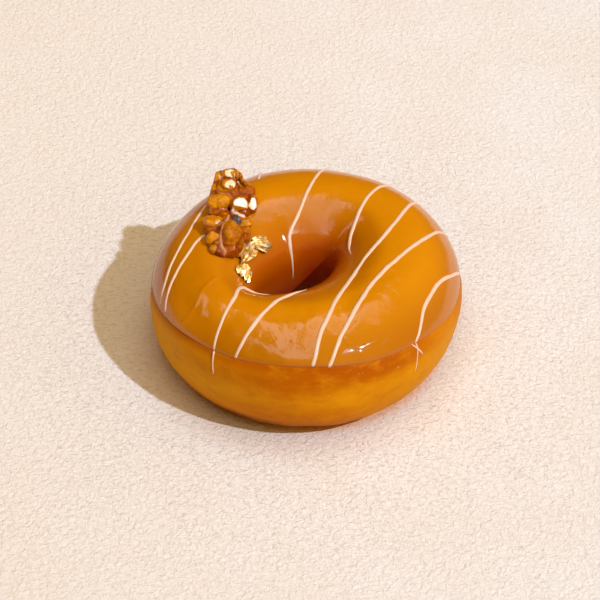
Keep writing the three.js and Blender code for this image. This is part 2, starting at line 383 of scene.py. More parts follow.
def icing_material():
    s = Shader("icing")
    inward, depth = s.painted("from_edge"), s.painted("into_hole")
    colour = s.mix(s.noise(9.0, detail=3.0), (0.545, 0.188, 0.0003), (0.595, 0.222, 0.0003))
    layers = [
        # Browner towards its outer edge
        (s.band(inward, 12.0, 58.0, 1.0, 0.0), (0.43, 0.142, 0.0003)),
        (s.band(inward, 0.0, 7.0, 0.45, 0.0), (0.40, 0.105, 0.0003)),
        # Darker and redder down the hole: partly a redder caramel, partly painted shade in the hole
        (s.band(depth, 94.0, 110.0, 0.0, 1.0), (0.45, 0.145, 0.0003)),
        (s.band(depth, 114.0, 138.0, 0.0, 0.7), (0.38, 0.085, 0.0003)),
        (s.band(depth, 134.0, 154.0, 0.0, 0.9), (0.33, 0.046, 0.0003)),
        (s.band(depth, 160.0, 180.0, 0.0, 1.0), (0.30, 0.022, 0.0001)),
        # Painted shade on the left of the crown, painted light on the left front, and redder on the
        # right front
        (s.painted("thickening_and_painted_shade"), (0.46, 0.145, 0.0003)),
        (s.painted("painted_light_left_front"), (0.80, 0.290, 0.0003)),
        (s.painted("redder"), (0.36, 0.090, 0.0003)),
    ]
    grain = s.noise(0.5, detail=2.0, roughness=0.6)
    waves = s.noise(1.7, detail=2.0)
    normal = s.bump(waves, 0.06, normal=s.bump(grain, 0.022))
    film = s.math("MULTIPLY", s.painted("film"), s.band(grain, 0.3, 0.6, 0.7, 1.0))
    rough = s.math("ADD", s.band(waves, 0.4, 0.6, 0.04, 0.07), s.math("MULTIPLY", film, 0.18))
    rough = s.math("MAXIMUM", rough, s.band(inward, 1.0, 9.0, 0.34, 0.04))
    rough = s.math("MAXIMUM", rough, s.band(depth, 150.0, 172.0, 0.04, 0.40))
    s.set(Base_Color=s.layered(colour, layers), Roughness=rough, Normal=normal, IOR=1.55)
    return s.material


# Colours of the crust at shares of 100 degrees of turn below the icing's edge
FRIED = [
    (0.00, (0.355, 0.070, 0.0002)),
    (0.15, (0.365, 0.076, 0.0002)),
    (0.25, (0.51, 0.155, 0.0003)),
    (0.36, (0.55, 0.180, 0.0003)),
    (0.50, (0.54, 0.155, 0.0003)),
    (0.80, (0.50, 0.135, 0.0010)),
]
GOLDEN = [
    (0.00, (0.49, 0.145, 0.0003)),
    (0.16, (0.58, 0.220, 0.0003)),
    (0.45, (0.58, 0.190, 0.0003)),
    (0.80, (0.50, 0.135, 0.0010)),
]
RAMP_TURN = 100.0
BAND_WANDER = 7.0  # degrees of turn that the bands of colour stray


def dough_material():
    s = Shader("dough")
    unevenness = s.math("SUBTRACT", s.noise(6.0, detail=3.0), 0.5)
    below = s.math("ADD", s.painted("below_edge"), s.math("MULTIPLY", unevenness, BAND_WANDER))
    place = s.math("DIVIDE", below, RAMP_TURN)
    crust = s.mix(s.painted("fried"), s.ramp(place, GOLDEN), s.ramp(place, FRIED))
    mottle = s.noise(6.0, detail=5.0, roughness=0.6, place=s.stretched((1.0, 1.0, 2.6)))
    specks = s.band(s.spots(1.9), 0.10, 0.17, 0.5, 0.0)
    few = s.band(s.noise(5.0), 0.52, 0.62)
    layers = [
        # Painted light on the shaded side, the sunny side and its foot
        (s.painted("painted_light_pale"), (0.80, 0.35, 0.004)),
        (s.painted("yellower"), (0.58, 0.235, 0.0003)),
        # Painted shade towards the base on the shaded front
        (s.painted("painted_shade_near_base"), (0.18, 0.030, 0.0003)),
        (s.painted("browner"), (0.40, 0.085, 0.0003)),
        (s.painted("float_line"), (0.74, 0.33, 0.003)),
        # Blotches that lie along the ring, and a few pale specks
        (s.band(mottle, 0.46, 0.74, 0.0, 0.34), (0.68, 0.31, 0.004)),
        (s.band(mottle, 0.30, 0.47, 0.30, 0.0), (0.38, 0.085, 0.0003)),
        (s.math("MULTIPLY", specks, few), (0.78, 0.42, 0.08)),
    ]
    pores = s.noise(0.5, detail=4.0, roughness=0.7)
    blisters = s.noise(1.8, detail=2.0)
    normal = s.bump(blisters, 0.10, normal=s.bump(pores, 0.03))
    rough = s.band(mottle, 0.3, 0.7, 0.40, 0.55)
    crust = s.layered(crust, layers)
    s.set(Base_Color=crust, Roughness=rough, Normal=normal, Specular_IOR_Level=0.03)
    return s.material


def thread_material():
    s = Shader("sugar_thread")
    colour = s.mix(s.noise(1.1, detail=3.0), (0.66, 0.44, 0.31), (0.76, 0.56, 0.43))
    normal = s.bump(s.noise(0.35, detail=3.0), 0.03)
    s.set(Base_Color=colour, Roughness=0.42, Normal=normal, IOR=1.45)
    return s.material


def leaf_material():
    s = Shader("gold_leaf")
    worn = s.band(s.noise(1.3, detail=2.0), 0.42, 0.58)
    colour = s.mix(worn, (0.66, 0.38, 0.05), (0.98, 0.88, 0.58))
    rough = s.band(s.noise(0.6, detail=2.0), 0.3, 0.7, 0.28, 0.40)
    normal = s.bump(s.noise(0.5, detail=2.0), 0.03)
    s.set(Base_Color=colour, Metallic=0.7, Roughness=rough, Normal=normal)
    return s.material


def walnut_material():
    s = Shader("walnut")
    streaks = s.noise(1.0, detail=4.0, roughness=0.65, distortion=1.2)
    clouds = s.math("SUBTRACT", s.noise(1.5, detail=3.0, roughness=0.6), 0.5)
    light = s.math("ADD", s.painted("tone"), s.math("MULTIPLY", clouds, 1.9), clamp=True)
    painted_highlight_facet = s.painted("painted_highlight_facet")
    layers = [
        (s.band(streaks, 0.45, 0.78, 0.0, 0.45), (0.30, 0.052, 0.0004)),
        # Painted shade low down near the icing, and darker by the leaf
        (s.painted("painted_shade_low_down"), (0.24, 0.040, 0.0003)),
        # Painted shade in the grooves between lobes
        (s.painted("painted_groove_shade"), (0.15, 0.018, 0.0003)),
        (s.painted("vein"), (0.50, 0.22, 0.10)),
        # Painted shade of a pit in the pith
        (s.painted("painted_pit_shade"), (0.06, 0.045, 0.050)),
        (s.painted("pith"), (0.66, 0.55, 0.48)),
        # Painted highlight on the facets, which face halfway between the sun and the camera
        (s.math("MULTIPLY", painted_highlight_facet, s.band(streaks, 0.42, 0.62, 0.95, 0.6)), (0.86, 0.74, 0.52)),
    ]
    meat = s.mix(light, (0.32, 0.060, 0.0004), (0.62, 0.245, 0.001))
    meat = s.layered(meat, layers)
    smoother = s.band(painted_highlight_facet, 0.0, 1.0, 1.0, 0.3)
    unevenness = s.math("MULTIPLY", s.noise(0.8, detail=2.0), smoother)
    normal = s.bump(unevenness, 0.14, normal=s.bump(streaks, 0.03))
    rough = s.math("ADD", s.band(streaks, 0.3, 0.7, 0.12, 0.18), s.math("MULTIPLY", painted_highlight_facet, 0.08))
    s.set(Base_Color=meat, Roughness=rough, Normal=normal, IOR=1.5, Specular_IOR_Level=0.26)
    return s.material


# --- Dough ---

DOUGH_ROUNDS, DOUGH_SIZE = 400, 150
# How far the dough lies inside the smooth skin, bare at the icing's edge and under the icing, in
# mm, and the degrees of turn over which that changes
STEP_UNDER_LIP, UNDER_ICING = 0.35, 1.3
BARE_BLEND, COVERED_BLEND, BASE_FADE = 12.0, 4.0, 12.0
# Parts of the ring: middle bearing and half width
SUNNY_SIDE, SHADY_SIDE, SHADY_FRONT = (348.0, 30.0), (190.0, 48.0), (240.0, 27.0)
BRIGHT_SIDE, BROWN_FRONT = (332.0, 14.0), (263.0, 17.0)
# Parts of the ring: bearings where it starts, is full, is still full and ends
BRIGHT_FOOT, YELLOW_SIDE = (306, 328, 350, 50), (262, 325, 350, 60)
# The pale line where the ring floated in the fat: places [bearing, turn], its half width, and
# where it shows most, with how much
FLOAT_LINE = [(215.0, -10.0), (226.0, -5.0), (241.0, 1.0), (260.0, 3.0), (290.0, 5.0)]
FLOAT_HALF = 6.5
FLOAT_SHOWS = [((231.0, 21.0), 0.8), ((281.0, 13.0), 0.35)]


def around_bearing(bearing, middle, half):
    """Like around, for bearings, which start again after 360."""
    return around((bearing - middle + 180) % 360, 180, half)


def stretch_of_ring(bearing, start, full, until, end):
    """1 on the ring's stretch from full to until, falling to 0 at start and end."""
    along, full, until, end = ((x - start) % 360 for x in (bearing, full, until, end))
    return smoothstep(along, 0.0, full) * (1 - smoothstep(along, until, end))


def dough_tones(bearing, turn, covered):
    """How much of each colour the crust has, and how far below the icing's edge it is."""
    shady = around_bearing(bearing, *SHADY_SIDE)
    below = -covered
    # Painted light: the crust is painted paler on the shaded side, the sunny side and the sunny foot
    painted_light_pale = 0.9 * shady * smoothstep(below, 0.0, 12.0)
    bright_side = 0.18 * around_bearing(bearing, *BRIGHT_SIDE) * smoothstep(turn, -12.0, 4.0)
    bright_foot = 0.6 * stretch_of_ring(bearing, *BRIGHT_FOOT) * smoothstep(-turn, 10.0, 24.0)
    off_line = turn - np.interp(bearing, *np.transpose(FLOAT_LINE))
    shows = sum(share * around_bearing(bearing, *part) for part, share in FLOAT_SHOWS)
    return {
        "below_edge": below,
        # The fried band is painted weaker on the sunny and shaded sides, as painted light
        "fried": 1 - 0.85 * around_bearing(bearing, *SUNNY_SIDE) - 0.8 * shady,
        "painted_light_pale": np.maximum(np.maximum(painted_light_pale, bright_side), bright_foot),
        "float_line": shows * around(off_line, 0.0, FLOAT_HALF),
        "browner": 0.55 * around_bearing(bearing, *BROWN_FRONT) * around(turn, 17.0, 9.0),
        # Painted shade towards the base on the shaded front
        "painted_shade_near_base": around_bearing(bearing, *SHADY_FRONT) * smoothstep(-turn, 20.0, 34.0),
        "yellower": 0.7 * stretch_of_ring(bearing, *YELLOW_SIDE) * smoothstep(below, 8.0, 26.0),
    }


def make_dough():
    bearing = np.linspace(0, 360, DOUGH_ROUNDS, endpoint=False)[:, None]
    turn = np.linspace(-BASE_TURN, 180 + BASE_TURN, DOUGH_SIZE)[None, :]
    covered = np.minimum(turn - edge_turn(bearing), INNER_EDGE - turn)
    bare = STEP_UNDER_LIP * (1 - smoothstep(-covered, 0.0, BARE_BLEND))
    deeper = (UNDER_ICING - STEP_UNDER_LIP) * smoothstep(covered, 0.0, COVERED_BLEND)
    inset = np.where(covered > 0, STEP_UNDER_LIP + deeper, bare)
    from_base = np.minimum(turn + BASE_TURN, 180 + BASE_TURN - turn)
    fade = smoothstep(from_base, 0.0, BASE_FADE) * smoothstep(-covered, -2.0, 3.0)
    follow = icing_relief(bearing, turn) * smoothstep(covered, -8.0, 0.0)
    points = skin(bearing, turn, dough_relief(bearing, turn) * fade + follow - inset)
    faces = side_faces(DOUGH_ROUNDS, DOUGH_SIZE, DOUGH_ROUNDS)
    obj = mesh_object("dough_crust", points.reshape(-1, 3), faces, dough_material())
    for name, share in dough_tones(bearing, turn, covered).items():
        paint(obj, name, np.broadcast_to(share, points.shape[:-1]))
    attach(obj, BODY)
    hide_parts("dough")


# --- Icing ---

ICING_ROUNDS, ICING_OUTER, ICING_INNER = 500, 158, 14
ICING_THICKNESS, EDGE_THICKNESS = 1.1, 0.8
THINS_OVER = 16.0  # degrees of turn from its edges
EDGE_CROWDING = 0.52  # how much closer together the rows are at the two edges
# Parts of the icing: middle and half width of their bearing, then of their turn
LEFT_CROWN = (199.0, 22.0), (86.0, 18.0)
LEFT_FRONT = (211.0, 15.0), (42.0, 15.0)
RIGHT_FRONT = (315.0, 26.0), (36.0, 15.0)
# A thin film of dried glaze on the wall behind the hole, with a bowed lower edge
FILM_BEARING, FILM_HALF, FILM_LOW, FILM_BOW = 86.0, 26.0, 140.0, 4.5
FILM_SOFT = 4  # degrees of bearing over which its sides end


def on_part(bearing, turn, part):
    """1 in the middle of a part of the icing, and less around it."""
    return around_bearing(bearing, *part[0]) * around(turn, *part[1])


def icing_tones(bearing, turn):
    """Places and shares of colour that the icing's material uses."""
    # The wall behind the hole stays lighter on its left, the side the sun lights, as painted light
    # taken off the hole's painted shade
    lit_side = smoothstep(bearing, 80.0, 112.0) * smoothstep(-bearing, -260.0, -200.0)
    off_middle = bearing - FILM_BEARING
    low = FILM_LOW - FILM_BOW * (off_middle / FILM_HALF) ** 2
    film_sides = smoothstep(-np.abs(off_middle), -FILM_HALF - FILM_SOFT, -FILM_HALF + FILM_SOFT)
    film_height = smoothstep(turn, 98.0, 112.0) * smoothstep(-turn, -low - 1, -low + 1)
    return {
        "from_edge": turn - edge_turn(bearing),
        "into_hole": turn - 16.0 * lit_side * smoothstep(turn, 140.0, 165.0),
        # Painted shade on the left of the crown
        "thickening_and_painted_shade": 0.75 * on_part(bearing, turn, LEFT_CROWN),
        # Painted light on the left front
        "painted_light_left_front": 0.65 * on_part(bearing, turn, LEFT_FRONT),
        "redder": 0.40 * on_part(bearing, turn, RIGHT_FRONT),
        "film": film_height * film_sides,
    }


def make_icing():
    bearing = np.linspace(0, 360, ICING_ROUNDS, endpoint=False)[:, None]
    edge = edge_turn(bearing)
    share = np.linspace(0, 1, ICING_OUTER)[None, :]
    share = share - EDGE_CROWDING * np.sin(2 * np.pi * share) / (2 * np.pi)
    turn = edge + (INNER_EDGE - edge) * share
    outside = icing_face(bearing, turn, -lip(INNER_EDGE - turn))
    back = np.linspace(1, 0, ICING_INNER)[None, :]
    under = edge + (INNER_EDGE - edge) * back
    from_end = np.minimum(back, 1 - back) * (INNER_EDGE - edge)
    thickening_and_painted_shade = (ICING_THICKNESS - EDGE_THICKNESS) * smoothstep(from_end, 0.0, THINS_OVER)
    inside = skin(bearing, under, icing_relief(bearing, under) - EDGE_THICKNESS - thickening_and_painted_shade)
    points = np.concatenate([outside, inside], axis=1)
    faces = side_faces(ICING_ROUNDS, points.shape[1], ICING_ROUNDS)
    obj = mesh_object("icing_shell", points.reshape(-1, 3), faces, icing_material())
    for name, values in icing_tones(bearing, np.concatenate([turn, under], axis=1)).items():
        paint(obj, name, values)
    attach(obj, BODY)
    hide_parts("icing")


# --- Sugar threads ---

# Places [bearing, turn] that the piping went through, and its width in mm at both ends and
# in the middle
THREADS = [
    ([(145, 62), (153, 65), (166, 67), (178, 62), (188, 52), (194, 41), (199, 25)], (0.9, 1.0, 0.7)),
    ([(126, 44), (124, 34), (122, 22)], (0.8, 0.9, 0.7)),
    ([(170, 85), (176, 79), (185, 72), (191, 63), (196, 51), (204, 27)], (1.0, 1.1, 0.8)),
    ([(114, 66), (112, 56), (109, 40), (108, 26)], (0.9, 1.1, 0.7)),
    (
        [(240, 140), (232, 132), (224, 131), (219, 126), (220, 115), (226, 96), (230, 72), (233.4, 32)],
        (0.35, 1.25, 0.8),
    ),
    ([(272, 140), (262, 126), (251, 110), (247, 90), (244, 60), (242.5, 34)], (0.3, 1.3, 0.9)),
    ([(79, 24), (82, 56), (88, 92), (98, 120), (115, 140), (120, 158), (121, 184)], (1.0, 1.1, 0.2)),
    ([(52, 24), (52, 55), (51, 86), (45, 111), (33, 131), (21, 135), (2, 130)], (1.0, 1.2, 0.2)),
    (
        [(36, 24), (37, 49), (24, 86), (-6, 112), (-39, 113), (-67, 99), (-82, 73), (-88, 37.5)],
        (0.95, 1.35, 1.2),
    ),
    ([(21, 22), (15, 52), (-5, 84), (-35, 93), (-58, 85), (-74, 63), (-82, 36)], (0.95, 1.35, 1.0)),
    ([(2, 19), (-5, 33), (-16, 47), (-31, 47), (-45, 27.5)], (0.95, 1.25, 0.7)),
    # Thin trickles below two of them, and a loose fleck
    ([(233.4, 33), (234.2, 22), (235.3, 10)], (0.6, 0.45, 0.3)),
    ([(315.5, 27), (315.5, 22), (312.5, 0)], (0.55, 0.4, 0.25)),
    ([(313.2, 30), (315.5, 21), (317.6, 12)], (0.3, 0.6, 0.3)),
]
THREAD_SIDES = 14
THREAD_STEP = 0.45
THREAD_HEIGHT = 0.44
THREAD_SINK = 0.12
WIDTH_WANDER, THREAD_SWING = 0.13, 0.10  # share of the width, and mm to the side


def spline(places, count):
    """A smooth line through the places, with knots spaced by the root of their distances."""
    known = np.array(places, float)
    known = np.vstack([2 * known[0] - known[1], known, 2 * known[-1] - known[-2]])
    out = []
    for where in np.linspace(0, len(places) - 1, count):
        k = min(int(where), len(places) - 2)
        t = where - k
        x0, x1, x2, x3 = known[k : k + 4]
        steps = ((x0, x1), (x1, x2), (x2, x3))
        d0, d1, d2 = (max(np.linalg.norm(b - a) ** 0.5, 1e-4) for a, b in steps)
        s1 = ((x1 - x0) / d0 - (x2 - x0) / (d0 + d1) + (x2 - x1) / d1) * d1
        s2 = ((x2 - x1) / d1 - (x3 - x1) / (d1 + d2) + (x3 - x2) / d2) * d1
        square, cube = -3 * x1 + 3 * x2 - 2 * s1 - s2, 2 * x1 - 2 * x2 + s1 + s2
        out.append(x1 + s1 * t + square * t**2 + cube * t**3)
    return np.array(out)


def lay_surface(bearing, turn):
    """What a thread lies on: the icing's face, and below its edge the bare dough."""
    on_icing = icing_face(bearing, turn)
    on_dough = skin(bearing, turn, dough_relief(bearing, turn))
    share = smoothstep(turn - edge_turn(bearing), -3.0, 1.0)[..., None]
    return on_icing * share + on_dough * (1 - share)


def make_threads():
    vertices, faces = [], []
    for number, (places, widths) in enumerate(THREADS):
        rough = skin(*spline(places, 200).T)
        length = np.linalg.norm(np.diff(rough, axis=0), axis=1).sum()
        count = max(8, int(length / THREAD_STEP))
        bearing, turn = spline(places, count).T
        centre = lay_surface(bearing, turn)
        above = skin(bearing, turn, 1.0) - skin(bearing, turn)
        along = np.gradient(centre, axis=0)
        along /= np.linalg.norm(along, axis=1)[:, None]
        side = np.cross(along, above)
        side /= np.linalg.norm(side, axis=1)[:, None]
        up = np.cross(side, along)
        share = np.linspace(0, 1, count)
        width = np.interp(share, [0, 0.3, 0.75, 1], [widths[0], widths[1], widths[1], widths[2]])
        width = width * (1 + WIDTH_WANDER * noise(centre, 2.3, 40 + number))
        ends = np.minimum(share, 1 - share) * length / (0.6 * widths[1])
        width = width * np.sqrt(np.clip(1 - (1 - np.minimum(ends, 1)) ** 2, 0.02, 1))
        swing = THREAD_SWING * noise(centre, 3.1, 70 + number)
        height = THREAD_HEIGHT * np.minimum(width / widths[1], 1.15) * widths[1] ** 0.5
        round_ = np.linspace(0, 2 * np.pi, THREAD_SIDES, endpoint=False)
        offset = (
            side[:, None] * (swing[:, None] + width[:, None] / 2 * np.cos(round_))[..., None]
            + up[:, None] * (height[:, None] * np.sin(round_) - THREAD_SINK)[..., None]
        )
        faces += tube_faces(count, THREAD_SIDES, sum(map(len, vertices)))
        vertices.append((centre[:, None] + offset).reshape(-1, 3))
    obj = mesh_object("sugar_threads", np.concatenate(vertices), faces, thread_material())
    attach(obj, BODY)
    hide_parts("icing")


# --- Gold leaf ---

# Crumpled scraps of foil in fans of pleats: place [bearing, turn], width across the pleats and
# length along them in mm, height of the middle, which way the pleats run on the skin in degrees,
# how far off they meet in mm, and a seed
LEAVES = [
    ((157, 130.5), (5.8, 6.4), 1.7, 138, 9.0, 3),
    ((179, 122.0), (8.0, 8.8), 2.5, 190, 8.0, 8),
    ((201, 133.0), (6.4, 6.2), 1.7, 212, 8.0, 14),
]
LEAF_PLEATS, LEAF_ROWS = 9, 5
LEAF_THICKNESS = 0.10
LEAF_SINK = 0.2
PLEAT_HEIGHT = 0.85
LEAF_CRUMPLE = 0.30  # how far the foil's corners are out of place, in mm
LEAF_RAGGED = 0.30  # how uneven its outline is, as a share of its length
# How much shorter and lower it is at its sides, and narrower and lower at its ends
SIDE_SHORTER, SIDE_LOWER, END_NARROWER, END_LOWER = 0.72, 0.55, 0.35, 0.45


def leaf_sheet(place, size, height, folds, meet, seed):
    """Corners of one scrap: a row for each fold, from one end of it to the other."""
    fold = np.arange(LEAF_PLEATS + 1)[:, None] * np.ones(LEAF_ROWS)
    row = np.ones(LEAF_PLEATS + 1)[:, None] * np.arange(LEAF_ROWS)
    corner = np.stack([fold, row, np.zeros_like(fold)], -1) * 1.7
    off = [LEAF_CRUMPLE * noise(corner, 1.0, seed + axis) for axis in range(3)]
    u, v = 2 * fold / LEAF_PLEATS - 1, 2 * row / (LEAF_ROWS - 1) - 1
    ragged = 1 + LEAF_RAGGED * noise(corner, 2.1, seed + 4)
    length = np.sqrt(1 - SIDE_SHORTER * u**2) * ragged
    y = v * length * size[1] / 2 + off[1]
    x = u * size[0] / 2 * (1 + y / meet) * np.sqrt(1 - END_NARROWER * v**2) + off[0]
    pleat = PLEAT_HEIGHT * (fold % 2 - 0.5) * (1 + y / meet)
    rise = height * (1 - SIDE_LOWER * u**2) * (1 - END_LOWER * v**2) + pleat + 2 * off[2]
    rise = np.maximum(rise, 0.1) - LEAF_SINK
    way = math.radians(folds)
    bearing, turn = place
    foot = icing_face(bearing, turn)
    up = skin(bearing, turn, 1.0) - skin(bearing, turn)
    east = skin(bearing + 1, turn) - skin(bearing - 1, turn)
    east /= np.linalg.norm(east)
    north = np.cross(up, east)
    along = math.cos(way) * east + math.sin(way) * north
    across = np.cross(along, up)
    return foot + x[..., None] * across + y[..., None] * along + rise[..., None] * up


def make_leaf():
    vertices, faces = [], []
    folds, rows = LEAF_PLEATS + 1, LEAF_ROWS
    number = np.arange(folds * rows).reshape(folds, rows)
    corners = [number[:-1, :-1], number[1:, :-1], number[1:, 1:], number[:-1, 1:]]
    quads = np.stack(corners, -1).reshape(-1, 4)
    # Each pleat's panels are creased along a diagonal too
    panels = np.concatenate([quads[:, [0, 1, 2]], quads[:, [0, 2, 3]]])
    rim = np.concatenate([number[:-1, 0], number[-1, :-1], number[:0:-1, -1], number[0, :0:-1]])
    after = np.roll(rim, -1)
    sheet_size = folds * rows
    edge = np.stack([rim, after, after + sheet_size, rim + sheet_size], -1)
    for count, leaf in enumerate(LEAVES):
        sheet = leaf_sheet(*leaf)
        normal = np.cross(np.gradient(sheet, axis=0), np.gradient(sheet, axis=1))
        normal /= np.maximum(np.linalg.norm(normal, axis=-1), 1e-9)[..., None]
        for shift in (LEAF_THICKNESS / 2, -LEAF_THICKNESS / 2):
            vertices.append((sheet + normal * shift).reshape(-1, 3))
        start = count * 2 * sheet_size
        faces += (np.concatenate([panels, panels[:, ::-1] + sheet_size]) + start).tolist()
        faces += (edge + start).tolist()
    obj = mesh_object("gold_leaf", np.concatenate(vertices), faces, leaf_material())
    # Foil breaks into flat facets
    obj.data.shade_flat()
    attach(obj, BODY)
    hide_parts("icing")


# --- Walnut ---

# A rounded lobe: middle and half sizes in mm, how light it is, how much of it is cut flat where
# the glaze has set into a facet, which gets a painted highlight, how far from its middle it ends in
# a ledge, and how many degrees it is turned about the vertical
Lobe = namedtuple("Lobe", "middle half tone flat ledge turned", defaults=(0.0, None, 0.0))
UPPER_LOBES = [
    Lobe((-22.3, 28.7, 36.8), (2.2, 1.7, 1.8), 0.85),  # cap
    Lobe((-22.9, 28.1, 38.0), (1.9, 1.3, 1.3), 1.0, 0.5),
    Lobe((-23.9, 28.4, 36.7), (3.0, 1.1, 1.2), 1.0, turned=-28),  # ridge beside it
    Lobe((-26.3, 27.8, 35.6), (2.4, 2.8, 2.7), 0.7),  # upper left corner
    Lobe((-22.9, 26.4, 36.4), (2.8, 0.8, 1.0), 0.35, turned=-24),
    Lobe((-23.5, 22.9, 36.8), (2.8, 2.3, 2.4), 0.6),
    Lobe((-22.8, 22.6, 38.4), (1.9, 1.5, 1.5), 1.0, 0.5),
    Lobe((-26.8, 22.5, 36.2), (2.6, 1.8, 1.8), 0.8),
    Lobe((-27.1, 20.3, 35.9), (2.3, 1.2, 1.3), 0.35),
    Lobe((-25.6, 16.4, 37.2), (3.6, 1.9, 2.0), 1.0),  # finger across the piece
    Lobe((-19.6, 28.9, 36.0), (1.2, 0.9, 1.1), 0.6, turned=-40),  # three short strands
    Lobe((-18.5, 27.2, 35.9), (1.2, 0.8, 1.2), 0.95, turned=-40),
    Lobe((-17.4, 25.5, 35.7), (1.2, 0.8, 1.1), 0.5, turned=-40),
    Lobe((-17.3, 21.9, 36.0), (2.3, 2.0, 2.1), 0.05),
    Lobe((-19.5, 15.3, 36.9), (2.4, 2.3, 2.3), 0.45, 0.9, 1.45),
    Lobe((-15.5, 17.2, 35.7), (1.25, 2.7, 2.6), 0.25, 0.85),
    Lobe((-20.6, 20.4, 36.0), (1.5, 1.5, 1.5), 0.1),
    # Painted shade: the lobe under the finger has the darkest tone
    Lobe((-25.9, 14.0, 35.3), (2.9, 1.5, 1.5), 0.0),  # under the finger
    Lobe((-24.2, 22.8, 34.7), (4.0, 7.2, 2.8), 0.3),  # what joins them
    Lobe((-18.6, 19.0, 34.7), (3.2, 6.0, 2.2), 0.0),
]
LOWER_LOBES = [
    Lobe((-26.8, 8.0, 36.6), (2.5, 2.3, 2.3), 0.85),
    Lobe((-25.2, 6.6, 36.4), (1.4, 1.6, 1.5), 0.6),
    Lobe((-26.7, 4.9, 35.9), (2.3, 1.5, 1.5), 0.0),
    Lobe((-26.8, 1.2, 36.0), (2.0, 2.0, 2.1), 1.0),
    Lobe((-25.6, -0.4, 35.9), (1.4, 1.5, 1.5), 0.6),
    Lobe((-26.3, -2.4, 35.2), (1.6, 1.6, 1.7), 1.0),
    Lobe((-25.0, -2.7, 35.0), (1.7, 1.3, 1.4), 0.3),
    Lobe((-21.3, 2.2, 36.8), (2.9, 4.2, 3.6), 0.65),  # large round lobe
    Lobe((-19.5, 0.0, 35.9), (1.7, 2.2, 2.1), 0.45),
    Lobe((-17.4, 7.9, 35.8), (1.7, 1.4, 1.5), 0.9),
    Lobe((-17.6, 5.2, 35.7), (1.7, 1.5, 1.5), 0.45),
    Lobe((-17.4, 2.6, 35.2), (1.5, 1.5, 1.5), 0.2),
    Lobe((-19.9, 10.4, 35.8), (2.3, 1.8, 1.8), 0.2),
    Lobe((-23.2, 4.6, 34.7), (4.8, 8.9, 2.6), 0.1),  # what joins them
]
LOBES = UPPER_LOBES + LOWER_LOBES
LOBE_SQUARENESS = 2.5  # 2 is a true oval
FACET_FACES = np.array((0.307, -0.579, 0.755))
LEDGE_FACES = np.array((0.11, -0.98, 0.16))
# The upper half's straight cut side: a place on it and the way it faces
CUT_AT, CUT_FACES = np.array((-28.6, 18.0, 37.2)), np.array((-0.97, 0.17, 0.17))
# Bare pith between the lobes, a dark pit in it painted as shade, and a pale vein: lines seen from
# above, and reaches in mm
PITH = [
    ([(-21.5, 13.4), (-20.7, 11.4), (-19.7, 10.3)], 0.62),
    ([(-19.3, 9.9), (-18.1, 9.9)], 0.62),
    ([(-17.2, 8.3), (-17.0, 8.2)], 0.5),
]
PIT = [(-20.5, 8.9), (-19.7, 7.7)]
PIT_REACH = 1.15
VEIN = [
    *[(-22.6, 10.3), (-23.1, 6.9), (-24.0, 3.6), (-24.7, 1.8)],
    *[(-24.6, -0.4), (-24.3, -2.1), (-23.3, -3.9)],
]
VEIN_REACH, VEIN_HEIGHT = 0.38, 0.3
LOBE_BLEND = 0.42
LOBE_WARP, FACET_WARP = 0.6, 0.18
FACET_UNEVENNESS, CUT_UNEVENNESS = 0.05, 0.10
# Over how much, in mm, the lobes' tones and the painted shade in the grooves between them spread,
# and how ragged the pith and the painted shade of the pit are
TONE_BLEND, GROOVE_HALF, RAGGEDNESS = 0.25, 0.35, 0.45
WALNUT_CELL = 0.25
WALNUT_LOW, WALNUT_HIGH = (-32.0, -8.0, 29.0), (-11.0, 33.0, 41.5)
SEAT_LIFT = 0.1


def surface_net(field, low, high, cell):
    """Points and faces of where a field of places is zero."""
    axes = [np.arange(a, b, cell) for a, b in zip(low, high)]
    grid = np.stack(np.meshgrid(*axes, indexing="ij"), -1)
    value = field(grid)
    cells = np.array(value.shape) - 1
    total, hits = np.zeros((*cells, 3)), np.zeros(cells)
    edges = []

    def part(array, offset, size):
        return array[tuple(slice(o, o + s) for o, s in zip(offset, size))]

    for axis in range(3):
        step, *sideways = np.roll(np.eye(3, dtype=int), -axis, axis=0)
        shape = np.array(value.shape) - step
        first, second = part(value, (0, 0, 0), shape), part(value, step, shape)
        crosses = (first < 0) != (second < 0)
        share = np.where(crosses, first / np.where(crosses, first - second, 1), 0)
        place = (part(grid, (0, 0, 0), shape) + share[..., None] * step * cell) * crosses[..., None]
        offsets = [a * sideways[0] + b * sideways[1] for a, b in ((0, 0), (1, 0), (1, 1), (0, 1))]
        for offset in offsets:
            total += part(place, offset, cells)
            hits += part(crosses, offset, cells)
        edges.append((np.argwhere(crosses), offsets))
    number = np.cumsum(hits > 0).reshape(hits.shape) - 1
    faces = [
        np.stack([number[tuple((at - offset).T)] for offset in offsets], -1) for at, offsets in edges
    ]
    points = total[hits > 0] / hits[hits > 0][:, None]
    return points, np.concatenate(faces)


def meat_relief(points):
    """Ridges and wrinkles of the meat, in mm."""
    ridges = 0.13 * noise(points * (1.0, 0.4, 1.0), 1.3, 59)
    bumps = 0.20 * noise(points, 1.5, 51) + 0.10 * noise(points, 0.7, 53)
    return ridges + bumps - 0.08 * wrinkle_lines(points)


